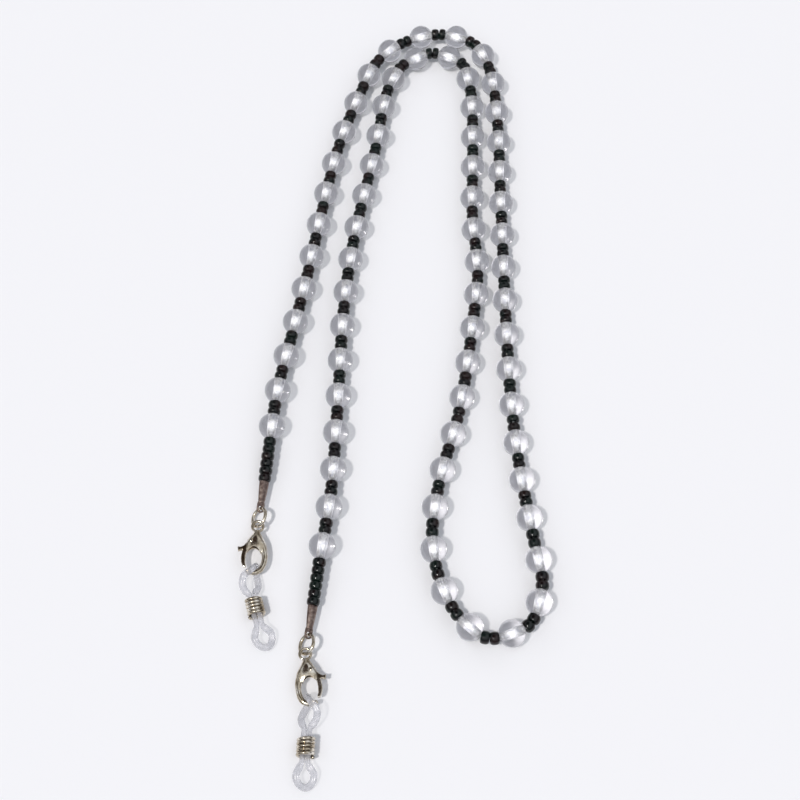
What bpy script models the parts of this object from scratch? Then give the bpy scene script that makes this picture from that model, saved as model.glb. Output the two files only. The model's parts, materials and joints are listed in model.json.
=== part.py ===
"""Beaded eyeglass retainer strap, laid out on a table as it is stored.

Clear beads and black seed beads are strung on one nylon cord. The strand starts at the left cord end, runs up
and over the outer arc, round the lower loop, back over the inner arc and down to the right cord end. Each cord
end carries a jump ring, a lobster clasp and a silicone temple loop with a coiled wire slider.

Units are metres with +Z up. The table is the plane z = 0, and the origin lies on it under the middle of the strap.
Tables of points, and the distances along the silicone loop, are in millimetres.
"""

import math

import bmesh
import bpy
import numpy as np
from mathutils import Vector

MM = 0.001

# Beads and cord
CLEAR_RADIUS = 3.0 * MM
CLEAR_LENGTH = 5.9 * MM
SEED_RADIUS = 1.36 * MM
SEED_LENGTH = 1.6 * MM
END_SEED_PITCH = 1.74 * MM
END_SEEDS = 6
CLEAR_BEADS = 67
BORE_RADIUS = 0.75 * MM
CONTACT_RADIUS = 0.97 * MM
CORD_RADIUS = 0.25 * MM
BEAD_GAP = 0.1 * MM
FLEX_GAP = 0.4 * MM
CORD_BREAK = 0.3 * MM
CORD_TURN_COSINE = math.cos(math.radians(8.0))
BEADS_PER_RUN = 3
# Longer seed beads, as (after these clear beads, extra length): seed beads vary, and the stringer put some here
LONG_SEEDS = ((range(9, 17), 0.17 * MM), (range(30, 37), 0.32 * MM))
BEAD_SIDES = 8
# The strand may bend after the clear beads with these numbers, counted from the left cord end
LEFT_FLEX = 9
OUTER_FOLD = 27
INNER_FOLD = 39
RIGHT_FLEX = 57

# Shares of a bead's length and of its greatest radius, from one end to the other.
CLEAR_PROFILE = ((0.17, 0.76), (0.5, 1.0), (0.83, 0.76))
SEED_PROFILE = ((0.5, 1.0),)
END_SEED_PROFILE = ((0.27, 1.0), (0.73, 1.0))

# Cord end: folded sheet around the cord, with a flat tab for the ring
CORD_END_LENGTH = 5.2 * MM
CORD_END_WIDTH = 2.3 * MM
CORD_END_HEIGHT = 1.8 * MM
CORD_END_TAPER = 0.78
SHEET = 0.25 * MM
CORD_IN_END = 2.0 * MM
TAB_WIDTH = 1.9 * MM
TAB_THICKNESS = 0.4 * MM
TAB_HOLE_RADIUS = 0.65 * MM
TAB_REACH = 1.2 * MM
TAB_ROOT = 1.2 * MM
TAB_HOLE_AT = CORD_END_LENGTH + TAB_REACH
TAB_START = CORD_END_LENGTH - TAB_ROOT
HARDWARE_HEIGHT = 2.3 * MM
RING_TILT = math.radians(45.0)

# Jump ring
RING_RADIUS = 2.1 * MM
RING_WIRE_RADIUS = 0.4 * MM

# Lobster clasp, drawn with its eye at (0, 0), its hook towards -y and its lever on the +x side
EYE_RADIUS = 1.2 * MM
EYE_WIRE_RADIUS = 0.35 * MM
HEAD_SECTIONS = (  # y, half width, half thickness
    (-1.05, 0.55, 0.5),
    (-1.7, 1.0, 0.85),
    (-2.7, 1.55, 1.15),
    (-3.8, 2.1, 1.25),
    (-4.8, 2.45, 1.15),
    (-5.4, 2.3, 0.8),
)
HOOK_PATH = (  # x, y, radius
    (-1.4, -4.5, 0.9),
    (-2.1, -5.8, 0.72),
    (-2.3, -7.2, 0.65),
    (-2.15, -8.7, 0.62),
    (-1.7, -9.8, 0.6),
    (-0.9, -10.45, 0.58),
    (0.0, -10.65, 0.57),
    (0.9, -10.55, 0.54),
    (1.4, -10.3, 0.45),
)
PIVOT = (0.9 * MM, -3.6 * MM)
PIN_RADIUS = 0.4 * MM
PIN_CLEARANCE = 0.1 * MM
PIN_LENGTH = 2.1 * MM
SLOT = (-0.85 * MM, -5.8 * MM, 4.0 * MM, -2.15 * MM)  # low x, low y, high x, high y
LEVER_THICKNESS = 0.95 * MM
SLOT_CLEARANCE = 0.12 * MM
LEVER_OUTLINE = (
    (-0.6, -3.4),
    (-0.6, -3.9),
    (0.3, -4.35),
    (1.3, -5.2),
    (1.75, -6.2),
    (1.87, -7.4),
    (1.75, -8.6),
    (1.45, -9.35),
    (1.65, -9.6),
    (2.15, -9.5),
    (2.6, -8.6),
    (2.78, -7.3),
    (2.7, -6.2),
    (2.5, -5.7),
    (3.0, -5.7),
    (3.6, -5.95),
    (3.8, -5.0),
    (3.1, -5.05),
    (2.5, -4.75),
    (1.85, -3.9),
    (1.75, -3.3),
    (1.3, -2.85),
    (0.7, -2.8),
    (0.15, -3.2),
)
SPRING_AT = (-0.25 * MM, -2.3 * MM)
SPRING_LENGTH = 0.9 * MM
SPRING_RADIUS = 0.3 * MM
SPRING_WIRE_RADIUS = 0.07 * MM
SPRING_TURNS = 3

# Silicone temple loop round the hook, in millimetres, and the coiled slider on it
BAR_AT = (-0.55, -10.55)
TUBE_RADIUS = 0.75 * MM
LEG_RADIUS = 0.56 * MM
LEG_OFFSET = 0.62
LOOP_LIFT = -0.27
UPPER_LEG = (  # distance from the hook, sideways, up
    (-1.55, 0.0, 0.0),
    (-1.1, 0.0, 1.1),
    (0.0, 0.6, 1.62),
    (1.6, 1.85, 1.5),
    (3.0, 1.9, 0.8),
    (4.1, 1.3, 0.0),
    (5.0, LEG_OFFSET, LOOP_LIFT),
    (7.2, LEG_OFFSET, LOOP_LIFT),
    (9.6, LEG_OFFSET, LOOP_LIFT),
    (12.0, LEG_OFFSET, LOOP_LIFT),
    (13.0, 1.1, -0.4),
    (14.3, 1.8, -0.7),
    (15.6, 1.55, -1.1),
    (16.5, 0.8, -1.35),
    (16.8, 0.0, -1.4),
)
LOWER_LEG = (
    (16.5, -0.8, -1.35),
    (15.6, -1.55, -1.1),
    (14.3, -1.8, -0.7),
    (13.0, -1.1, -0.4),
    (12.0, -LEG_OFFSET, LOOP_LIFT),
    (9.6, -LEG_OFFSET, LOOP_LIFT),
    (7.2, -LEG_OFFSET, LOOP_LIFT),
    (5.0, -LEG_OFFSET, LOOP_LIFT),
    (4.0, -1.1, -0.6),
    (3.0, -1.35, -1.05),
    (1.6, -0.95, -1.35),
    (0.0, -0.2, -1.52),
    (-1.1, 0.0, -1.08),
)
LOOP_REACH = 18.0
NARROW_FROM = 5.0
NARROW_TO = 12.2
NARROWING = 0.6
COIL_TURNS = 5
COIL_WIRE_RADIUS = 0.34 * MM
COIL_GAP = 0.06 * MM
COIL_PITCH = 2 * COIL_WIRE_RADIUS + COIL_GAP
COIL_CLEARANCE = 0.08 * MM

# Headings are angles from -Y towards +X, in degrees. A loop turns from one heading to the next between the
# distances given with them. A coil's place is the distance of its middle from the hook.
LEFT_CLASP_HEADING = -4.0
RIGHT_CLASP_HEADING = 8.0
LEFT_LOOP_HEADINGS = ((-2.0, -6.0), (1.5, -12.0), (2.5, -12.0), (4.6, 15.0), (12.2, 15.0), (16.0, 32.0))
LEFT_COIL_AT = 8.0
RIGHT_LOOP_HEADINGS = ((-2.0, 5.0), (2.0, -3.0), (4.6, -2.0), (12.2, -2.0), (16.0, 10.0))
RIGHT_COIL_AT = 9.0

# Where the middle of the laid-out strap falls in the route's table, which becomes the origin
MIDDLE = (0.7, 1.6, 0.0)

# The strand's route from the left cord end to the right one
ROUTE_SAMPLES = 60
ROUTE = (
    (-28.2, -28.8, 2.3),
    (-27.1, -17.0, 3.0),
    (-26.0, -6.0, 3.0),
    (-23.2, 8.3, 3.0),
    (-20.0, 25.0, 3.0),
    (-17.0, 43.0, 3.0),
    (-13.4, 61.5, 3.0),
    (-9.1, 75.5, 3.0),
    (-3.5, 89.0, 3.0),
    (4.0, 95.1, 3.0),
    (13.3, 97.1, 3.0),
    (21.5, 93.6, 3.0),
    (24.9, 85.3, 3.0),
    (26.3, 70.0, 3.0),
    (26.4, 45.0, 3.0),
    (27.0, -7.5, 3.0),
    (28.4, -25.6, 3.0),
    (31.0, -43.7, 3.0),
    (32.3, -52.7, 3.0),
    (29.0, -62.0, 3.0),
    (19.5, -64.6, 3.0),
    (12.6, -57.5, 3.0),
    (8.9, -44.0, 3.0),
    (10.4, -29.8, 3.0),
    (15.3, -11.5, 3.0),
    (19.2, 14.0, 3.0),
    (20.3, 25.0, 3.0),
    (19.4, 41.0, 3.0),
    (19.9, 60.0, 3.0),
    (19.7, 79.5, 3.0),
    (17.5, 88.0, 3.0),
    (10.1, 91.0, 3.0),
    (2.8, 87.3, 3.0),
    (-1.1, 79.5, 3.0),
    (-4.2, 61.0, 3.0),
    (-9.3, 33.7, 3.0),
    (-11.4, 14.0, 3.0),
    (-12.2, -8.0, 3.0),
    (-13.4, -32.0, 3.0),
    (-15.4, -47.0, 3.0),
    (-17.5, -64.0, 2.0),
)


def clear_scene():
    """Remove every object that the file opened with."""
    for obj in list(bpy.data.objects):
        bpy.data.objects.remove(obj, do_unlink=True)


def material(name, colour, roughness, metallic=0.0):
    """Make a Principled material with one colour."""
    made = bpy.data.materials.new(name)
    made.use_nodes = True
    made.diffuse_color = (*colour, 1.0)
    shader = made.node_tree.nodes["Principled BSDF"]
    shader.inputs["Base Color"].default_value = (*colour, 1.0)
    shader.inputs["Roughness"].default_value = roughness
    shader.inputs["Metallic"].default_value = metallic
    return made


def smooth_curve(points, per_span, closed=False):
    """Sample a centripetal Catmull-Rom curve through the points, per_span times in each stretch."""
    points = np.asarray(points, float)
    if closed:
        padded = np.vstack([points[-1], points, points[0], points[1]])
    else:
        padded = np.vstack([2 * points[0] - points[1], points, 2 * points[-1] - points[-2]])
    share = np.linspace(0.0, 1.0, per_span, endpoint=False)[:, None]
    spans = []
    for a, b, c, d in zip(padded, padded[1:], padded[2:], padded[3:]):
        t1 = np.linalg.norm(b - a) ** 0.5
        t2 = t1 + np.linalg.norm(c - b) ** 0.5
        t3 = t2 + np.linalg.norm(d - c) ** 0.5
        t = t1 + share * (t2 - t1)
        ab = a + (b - a) * t / t1
        bc = b + (c - b) * (t - t1) / (t2 - t1)
        cd = c + (d - c) * (t - t2) / (t3 - t2)
        abc = ab + (bc - ab) * t / t2
        bcd = bc + (cd - bc) * (t - t1) / (t3 - t1)
        spans.append(abc + (bcd - abc) * (t - t1) / (t2 - t1))
    if not closed:
        spans.append(points[-1:])
    return np.vstack(spans)


def unit(vector):
    """Scale a vector, or each row of an array of them, to length 1."""
    return vector / np.linalg.norm(vector, axis=-1, keepdims=True)


def walk(curve, steps):
    """Step along a dense curve by straight distances, and return the start and each point reached."""
    here = curve[0]
    reached = [here]
    index = 0
    for step in steps:
        while np.linalg.norm(curve[index + 1] - here) < step:
            index += 1
        start, span = curve[index] - here, curve[index + 1] - curve[index]
        a, b, c = span @ span, 2 * span @ start, start @ start - step * step
        share = (-b + math.sqrt(b * b - 4 * a * c)) / (2 * a)
        here = curve[index] + share * span
        reached.append(here)
    return np.array(reached)


def mesh_object(name, points, faces, finish, smooth=True):
    """Make a mesh object whose faces point outwards."""
    mesh = bpy.data.meshes.new(name)
    mesh.from_pydata([tuple(p) for p in points], [], [tuple(f) for f in faces])
    shape = bmesh.new()
    shape.from_mesh(mesh)
    bmesh.ops.recalc_face_normals(shape, faces=shape.faces)
    shape.to_mesh(mesh)
    shape.free()
    mesh.materials.append(finish)
    if smooth:
        mesh.shade_smooth()
        mesh.set_sharp_from_angle(angle=math.radians(40.0))
    obj = bpy.data.objects.new(name, mesh)
    bpy.context.collection.objects.link(obj)
    return obj


def joined_rings(count, sides, first=0, closed=False):
    """List the four-sided faces between neighbouring rings of vertices."""
    faces = []
    for ring in range(count if closed else count - 1):
        near, far = first + ring * sides, first + (ring + 1) % count * sides
        for side in range(sides):
            after = (side + 1) % sides
            faces.append((near + side, near + after, far + after, far + side))
    return faces


def ring_frames(path, closed=False):
    """Carry two side directions along a path without twisting them, closing the twist up on a closed path."""
    if closed:
        along = unit(np.roll(path, -1, axis=0) - np.roll(path, 1, axis=0))
    else:
        along = unit(np.gradient(path, axis=0))
    first = np.cross(along[0], (0.0, 0.0, 1.0))
    if np.linalg.norm(first) < 0.1:
        first = np.cross(along[0], (1.0, 0.0, 0.0))
    across = [unit(first)]
    for direction in along[1:]:
        across.append(unit(across[-1] - direction * (across[-1] @ direction)))
    across = np.array(across)
    up = np.cross(across, along)
    if closed:
        last = unit(across[-1] - along[0] * (across[-1] @ along[0]))
        twist = math.atan2(last @ up[0], last @ across[0])
        turn = -twist * np.arange(len(path))[:, None] / len(path)
        across, up = np.cos(turn) * across + np.sin(turn) * up, np.cos(turn) * up - np.sin(turn) * across
    return across, up


def circle_rings(path, radii, sides, closed=False):
    """Return rings of points round a path."""
    across, up = ring_frames(path, closed)
    angle = np.arange(sides) * 2 * math.pi / sides
    radii = np.broadcast_to(radii, len(path))[:, None, None]
    spread = np.cos(angle)[None, :, None] * across[:, None] + np.sin(angle)[None, :, None] * up[:, None]
    return path[:, None] + radii * spread


def tube(name, path, radii, sides, finish, closed=False):
    """Make a round bar along a path, capped where it isn't closed."""
    rings = circle_rings(np.asarray(path), radii, sides, closed)
    faces = joined_rings(len(rings), sides, closed=closed)
    if not closed:
        faces.append(tuple(range(sides)))
        faces.append(tuple(range((len(rings) - 1) * sides, len(rings) * sides)))
    return mesh_object(name, rings.reshape(-1, 3), faces, finish)


def combine(target, tool, operation):
    """Join a helper to the target, or cut it away, and remove the helper."""
    modifier = target.modifiers.new(operation.title(), "BOOLEAN")
    modifier.operation = operation
    modifier.solver = "EXACT"
    modifier.object = tool
    bpy.context.view_layer.update()
    evaluated = target.evaluated_get(bpy.context.evaluated_depsgraph_get())
    mesh = bpy.data.meshes.new_from_object(evaluated)
    target.modifiers.clear()
    target.data = mesh
    bpy.data.objects.remove(tool, do_unlink=True)
    mesh.shade_smooth()
    mesh.set_sharp_from_angle(angle=math.radians(40.0))


def prism(name, outline, low, high, place, finish):
    """Make a flat-sided solid from an outline, between two heights of its own frame."""
    count = len(outline)
    points = [place(x, y, z) for z in (low, high) for x, y in outline]
    faces = joined_rings(2, count)
    faces.append(tuple(range(count)))
    faces.append(tuple(range(count, 2 * count)))
    return mesh_object(name, points, faces, finish, smooth=False)


def round_outline(x, y, radius, sides):
    """List the corners of a round outline."""
    angles = [2 * math.pi * side / sides for side in range(sides)]
    return [(x + radius * math.cos(a), y + radius * math.sin(a)) for a in angles]


def bead_rings(start, end, profile, radius):
    """Give the stations between two contacts of one bead: point, direction and radius of each."""
    way = unit(end - start)
    return [(start + share * (end - start), way, part * radius) for share, part in profile]


def knot_facings(knots):
    """Give the direction that halves the string's turn at each knot, so that neighbours meet squarely."""
    way = unit(np.diff(knots, axis=0))
    return unit(np.vstack([way[:1], way[1:] + way[:-1], way[-1:]]))


def bead_string(name, knots, facings, kinds, finish):
    """Make one body of beads that touch end to end, with the cord's bore right through it."""
    stations = []
    bores = []
    for index, kind in enumerate(kinds):
        profile, radius = BEAD_SHAPES[kind]
        stations.append((knots[index], facings[index], CONTACT_RADIUS))
        stations.extend(bead_rings(knots[index], knots[index + 1], profile, radius))
        if index == 0 or "clear" in kinds[index - 1 : index + 1]:
            bores.append((knots[index], facings[index], BORE_RADIUS))
    stations.append((knots[-1], facings[-1], CONTACT_RADIUS))
    bores.append((knots[-1], facings[-1], BORE_RADIUS))
    angle = np.arange(BEAD_SIDES) * 2 * math.pi / BEAD_SIDES
    rings = []
    for centre, facing, radius in stations + bores:
        across = unit(np.cross(facing, (0.0, 0.0, 1.0)))
        up = np.cross(across, facing)
        rings.append(centre + radius * (np.cos(angle)[:, None] * across + np.sin(angle)[:, None] * up))
    outer, inner = len(stations), len(bores)
    first_bore = outer * BEAD_SIDES
    faces = joined_rings(outer, BEAD_SIDES) + joined_rings(inner, BEAD_SIDES, first_bore)
    for outer_start, inner_start in (
        (0, first_bore),
        ((outer - 1) * BEAD_SIDES, first_bore + (inner - 1) * BEAD_SIDES),
    ):
        for side in range(BEAD_SIDES):
            after = (side + 1) % BEAD_SIDES
            faces.append((outer_start + side, outer_start + after, inner_start + after, inner_start + side))
    return mesh_object(name, np.vstack(rings), faces, finish)


def shortened(knots, start_gap, end_gap):
    """Draw the first and last knot in along the string, to leave a gap to its neighbours."""
    knots = knots.copy()
    knots[0] += unit(knots[1] - knots[0]) * start_gap
    knots[-1] += unit(knots[-2] - knots[-1]) * end_gap
    return knots


def cord_stretch(name, points):
    """Make a stretch of the nylon cord as a round curve with filled caps."""
    curve = bpy.data.curves.new(name, "CURVE")
    curve.dimensions = "3D"
    curve.bevel_depth = CORD_RADIUS
    curve.bevel_resolution = 2
    curve.use_fill_caps = True
    spline = curve.splines.new("POLY")
    spline.points.add(len(points) - 1)
    for place, point in zip(spline.points, points):
        place.co = (*point, 1.0)
    curve.materials.append(NYLON)
    obj = bpy.data.objects.new(name, curve)
    bpy.context.collection.objects.link(obj)
    return obj


def pivot(name, place, parent=None):
    """Put an empty on a joint's axis, for the pieces that turn or slide with it."""
    empty = bpy.data.objects.new(name, None)
    empty.empty_display_size = 2 * MM
    bpy.context.collection.objects.link(empty)
    empty.location = Vector(place)
    if parent:
        empty.parent = parent
        empty.location -= Vector(parent["place"])
    empty["place"] = tuple(float(value) for value in place)
    return empty


def hang(pieces, empty):
    """Give pieces their origin on a joint's axis and parent them to its empty."""
    for piece in pieces:
        place = Vector(empty["place"])
        if piece.type == "CURVE":
            for point in piece.data.splines[0].points:
                point.co = (*(point.co.xyz - place), 1.0)
        else:
            for vertex in piece.data.vertices:
                vertex.co -= place
        piece.parent = empty


def heading(degrees):
    """Return the flat direction at an angle from -Y towards +X."""
    return np.array([math.sin(math.radians(degrees)), -math.cos(math.radians(degrees)), 0.0])


def make_cord_end(side, mouth, way):
    """Fold a sheet round the cord's end, with a flat tab whose hole takes the ring. Return it and the hole."""
    flat = unit(np.cross((0.0, 0.0, 1.0), way))
    across = math.cos(RING_TILT) * flat - math.sin(RING_TILT) * np.array([0.0, 0.0, 1.0])
    normal = np.cross(across, way)

    def place(x, y, z):
        return mouth + way * y + across * x + normal * z

    angles = np.radians(np.linspace(100.0, 440.0, 12))
    half_width = CORD_END_WIDTH / 2
    half_height = CORD_END_HEIGHT / 2
    rings = []
    for share, scale in ((0.0, 1.0), (0.5, 0.97), (1.0, CORD_END_TAPER)):
        outside = [(scale * half_width * math.cos(a), scale * half_height * math.sin(a)) for a in angles]
        inside = [
            (
                (scale * half_width - SHEET) * math.cos(a),
                (scale * half_height - SHEET) * math.sin(a),
            )
            for a in angles[::-1]
        ]
        rings.append([place(x, share * CORD_END_LENGTH, z) for x, z in outside + inside])
    sides = 2 * len(angles)
    faces = joined_rings(len(rings), sides)
    for ring in (0, len(rings) - 1):
        for step in range(len(angles) - 1):
            first, last = ring * sides + step, ring * sides + sides - 1 - step
            faces.append((first, first + 1, last - 1, last))
    piece = mesh_object(f"{side}_cord_end", np.array(rings).reshape(-1, 3), faces, NICKEL)
    half_tab = TAB_WIDTH / 2
    rounded = [
        (half_tab * math.cos(a), TAB_HOLE_AT + half_tab * math.sin(a)) for a in np.linspace(math.pi, 0, 9)
    ]
    outline = [(half_tab * 0.8, TAB_START), (-half_tab * 0.8, TAB_START)] + rounded
    tab = prism("tab", outline, -TAB_THICKNESS / 2, TAB_THICKNESS / 2, place, NICKEL)
    combine(piece, tab, "UNION")
    hole = round_outline(0.0, TAB_HOLE_AT, TAB_HOLE_RADIUS, 12)
    combine(piece, prism("hole", hole, -TAB_THICKNESS, TAB_THICKNESS, place, NICKEL), "DIFFERENCE")
    return piece, place(0.0, TAB_HOLE_AT, 0.0), normal


def make_jump_ring(side, hole, way, wire_way):
    """Bend a round wire ring through the tab's hole. Return it and the point where the clasp hangs on it."""
    centre = hole + RING_RADIUS * way
    turns = np.arange(20) * 2 * math.pi / 20
    path = centre + RING_RADIUS * (np.cos(turns)[:, None] * way + np.sin(turns)[:, None] * wire_way)
    ring = tube(f"{side}_jump_ring", path, RING_WIRE_RADIUS, 8, SILVER, closed=True)
    return ring, hole + 2 * RING_RADIUS * way


def clasp_frame(eye, degrees, lever_side):
    """Return a function that places a point of the clasp's own drawing, given in metres."""
    down = heading(degrees)
    right = np.array([-down[1], down[0], 0.0]) * lever_side

    def place(x, y, z):
        return eye + right * x - down * y + np.array([0.0, 0.0, z])

    return place


def make_clasp_body(side, place):
    """Cast the clasp's head, hook and eye in one piece, then cut the lever's slot and the pin's hole."""
    turns = np.arange(12) * 2 * math.pi / 12
    rings = [
        [place(w * MM * math.cos(a), y * MM, t * MM * math.sin(a)) for a in turns] for y, w, t in HEAD_SECTIONS
    ]
    faces = joined_rings(len(rings), len(turns))
    faces.append(tuple(range(len(turns))))
    faces.append(tuple(range((len(rings) - 1) * len(turns), len(rings) * len(turns))))
    body = mesh_object(f"{side}_clasp_body", np.array(rings).reshape(-1, 3), faces, SILVER)
    hook = smooth_curve(HOOK_PATH, 2)
    path = np.array([place(x * MM, y * MM, 0.0) for x, y, _ in hook])
    combine(body, tube("hook", path, hook[:, 2] * MM, 8, SILVER), "UNION")
    eye = np.array([place(EYE_RADIUS * math.cos(a), EYE_RADIUS * math.sin(a), 0.0) for a in turns + 0.1])
    combine(body, tube("eye", eye, EYE_WIRE_RADIUS, 8, SILVER, closed=True), "UNION")
    low_x, low_y, high_x, high_y = SLOT
    half_slot = LEVER_THICKNESS / 2 + SLOT_CLEARANCE
    corners = [(low_x, low_y), (high_x, low_y), (high_x, high_y), (low_x, high_y)]
    combine(body, prism("slot", corners, -half_slot, half_slot, place, SILVER), "DIFFERENCE")
    hole = round_outline(*PIVOT, PIN_RADIUS + PIN_CLEARANCE, 12)
    combine(body, prism("pin_hole", hole, -3 * MM, 3 * MM, place, SILVER), "DIFFERENCE")
    return body


def make_lever(side, place):
    """Stamp the lever with its thumb knob and drill it for the pin."""
    outline = [(x * MM, y * MM) for x, y in LEVER_OUTLINE]
    lever = prism(f"{side}_clasp_lever", outline, -LEVER_THICKNESS / 2, LEVER_THICKNESS / 2, place, SILVER)
    hole = round_outline(*PIVOT, PIN_RADIUS + PIN_CLEARANCE, 12)
    combine(lever, prism("lever_hole", hole, -2 * MM, 2 * MM, place, SILVER), "DIFFERENCE")
    return lever


def make_pin(side, place):
    """Make the rivet that the lever turns on."""
    outline = round_outline(*PIVOT, PIN_RADIUS, 12)
    return prism(f"{side}_clasp_pin", outline, -PIN_LENGTH / 2, PIN_LENGTH / 2, place, SILVER)


def make_spring(side, place):
    """Wind the small spring that pushes the lever shut."""
    steps = SPRING_TURNS * 8
    points = []
    for step in range(steps + 1):
        angle = 2 * math.pi * SPRING_TURNS * step / steps
        x = SPRING_AT[0] + SPRING_RADIUS * math.cos(angle)
        y = SPRING_AT[1] - SPRING_LENGTH * step / steps
        points.append(place(x, y, SPRING_RADIUS * math.sin(angle)))
    return tube(f"{side}_clasp_spring", np.array(points), SPRING_WIRE_RADIUS, 4, STEEL)


def loop_axis(bar, headings, lever_side):
    """Return a function that places a point of the loop: distance from the hook, sideways towards the lever and
    up, in mm."""
    distances, degrees = zip(*headings)
    fine = np.linspace(distances[0], LOOP_REACH, 401)
    ways = np.array([heading(angle) for angle in np.interp(fine, distances, degrees)])
    middle = np.vstack([np.zeros(3), np.cumsum((ways[1:] + ways[:-1]) / 2 * np.diff(fine)[:, None], axis=0)])
    middle -= [np.interp(0.0, fine, middle[:, axis]) for axis in range(3)]

    def place(distance, sideways, up):
        centre = np.array([np.interp(distance, fine, middle[:, axis]) for axis in range(3)])
        way = heading(np.interp(distance, distances, degrees))
        across = np.array([-way[1], way[0], 0.0]) * lever_side
        return bar + (centre + across * sideways + np.array([0.0, 0.0, up])) * MM

    return place


def make_temple_loop(side, place):
    """Mould the silicone loop: thick where it wraps the hook and the temple, narrow inside the slider."""
    drawn = smooth_curve(UPPER_LEG + LOWER_LEG, 2, closed=True)
    path = np.array([place(*point) for point in drawn])
    depth = np.minimum(drawn[:, 0] - NARROW_FROM, NARROW_TO - drawn[:, 0])
    inside = np.clip(1 + depth / NARROWING, 0, 1)
    radii = TUBE_RADIUS + (LEG_RADIUS - TUBE_RADIUS) * inside
    return tube(f"{side}_temple_loop", path, radii, 8, SILICONE, closed=True)


def make_slider(side, place, middle):
    """Wind the slider's wire round both legs of the loop, with its middle at a distance from the hook."""
    radius = LEG_OFFSET * MM + LEG_RADIUS + COIL_CLEARANCE + COIL_WIRE_RADIUS
    steps = COIL_TURNS * 10
    length = COIL_TURNS * COIL_PITCH / MM
    points = []
    for step in range(steps + 1):
        angle = 2 * math.pi * COIL_TURNS * step / steps
        distance = middle - length / 2 + length * step / steps
        up = LOOP_LIFT + radius / MM * math.sin(angle)
        points.append(place(distance, radius / MM * math.cos(angle), up))
    return tube(f"{side}_coil_slider", np.array(points), COIL_WIRE_RADIUS, 6, SILVER)


def make_end(side, mouth, way, clasp_degrees, lever_side, loop_headings, coil_at, leg):
    """Make one end's cord end, ring, clasp, temple loop and slider, hung from the end of the strand."""
    cord_end, hole, wire_way = make_cord_end(side, mouth, way)
    hang([cord_end], leg)
    ring, eye = make_jump_ring(side, hole, way, wire_way)
    ring_pivot = pivot(f"{side}_ring_pivot", hole, leg)
    hang([ring], ring_pivot)
    place = clasp_frame(eye, clasp_degrees, lever_side)
    body = make_clasp_body(side, place)
    pin = make_pin(side, place)
    spring = make_spring(side, place)
    lever = make_lever(side, place)
    clasp_pivot = pivot(f"{side}_clasp_pivot", eye, ring_pivot)
    hang([body, pin, spring], clasp_pivot)
    lever_pivot = pivot(f"{side}_lever_pivot", place(*PIVOT, 0.0), clasp_pivot)
    hang([lever], lever_pivot)
    bar = place(BAR_AT[0] * MM, BAR_AT[1] * MM, 0.0)
    loop_place = loop_axis(bar, loop_headings, lever_side)
    loop_pivot = pivot(f"{side}_loop_pivot", bar, clasp_pivot)
    hang([make_temple_loop(side, loop_place)], loop_pivot)
    slider_place = pivot(f"{side}_slider_place", loop_place(coil_at, 0.0, LOOP_LIFT), loop_pivot)
    hang([make_slider(side, loop_place, coil_at)], slider_place)


def string_layout():
    """List the steps between the string's knots, the last clear bead of each run but the final one, and the gaps
    that are wider because the strand bends there."""
    gaps = {flex: FLEX_GAP for flex in (LEFT_FLEX, OUTER_FOLD, INNER_FOLD, RIGHT_FLEX)}
    breaks = list(range(BEADS_PER_RUN, CLEAR_BEADS - BEADS_PER_RUN, BEADS_PER_RUN))
    steps = [END_SEED_PITCH] * END_SEEDS
    for bead in range(1, CLEAR_BEADS + 1):
        steps.append(CLEAR_LENGTH)
        if bead < CLEAR_BEADS:
            gap = gaps.get(bead, BEAD_GAP if bead in breaks else 0.0)
            extra = sum(length for beads, length in LONG_SEEDS if bead in beads)
            steps += [SEED_LENGTH + extra + gap / 2] * 2
    return steps + [END_SEED_PITCH] * END_SEEDS, breaks, gaps


def cord_end_place(knot, inner_knot):
    """Level the strand's last stretch: return the cord end's mouth and the flat direction that it points."""
    way = (knot - inner_knot) * (1.0, 1.0, 0.0)
    mouth = np.array([knot[0], knot[1], HARDWARE_HEIGHT])
    return mouth, unit(way)


def cord_points(first, last):
    """List the cord's points from one seed pair to another, with the ends of clear beads where it turns."""
    points = [knots[pair_knot(first)]] if first else []
    for bead in range(first + 1, last + 1):
        before, after = pair_knot(bead) - 2, pair_knot(bead) - 1
        if facings[before] @ facings[after] < CORD_TURN_COSINE or bead in (1, CLEAR_BEADS):
            points += [knots[before], knots[after]]
        if bead < CLEAR_BEADS:
            points.append(knots[pair_knot(bead)])
    return points


def pair_knot(bead):
    """Return the knot between the two seed beads that follow a clear bead."""
    return END_SEEDS + 3 * bead - 1


clear_scene()
CLEAR = material("clear_bead", (0.86, 0.88, 0.9), 0.05)
BLACK = material("black_seed_bead", (0.01, 0.01, 0.012), 0.15)
NYLON = material("nylon_cord", (0.75, 0.76, 0.76), 0.35)
NICKEL = material("cord_end_nickel", (0.32, 0.27, 0.25), 0.3, 1.0)
SILVER = material("champagne_silver", (0.72, 0.66, 0.55), 0.18, 1.0)
STEEL = material("spring_steel", (0.5, 0.5, 0.5), 0.3, 1.0)
SILICONE = material("clear_silicone", (0.85, 0.86, 0.9), 0.3)
BEAD_SHAPES = {
    "clear": (CLEAR_PROFILE, CLEAR_RADIUS),
    "seed": (SEED_PROFILE, SEED_RADIUS),
    "end_seed": (END_SEED_PROFILE, SEED_RADIUS),
}

string_steps, run_breaks, flex_gaps = string_layout()
knots = walk(smooth_curve(np.array(ROUTE) - MIDDLE, ROUTE_SAMPLES) * MM, string_steps)
facings = knot_facings(knots)
last_knot = len(knots) - 1

# Joint axes of the strand
strand = pivot("strand_root", (0.0, 0.0, CLEAR_RADIUS))
left_leg = pivot("left_leg_pivot", knots[pair_knot(LEFT_FLEX)], strand)
right_leg = pivot("right_leg_pivot", knots[pair_knot(RIGHT_FLEX)], strand)
lower_loop = pivot("lower_loop_pivot", knots[pair_knot(OUTER_FOLD)], strand)


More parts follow.
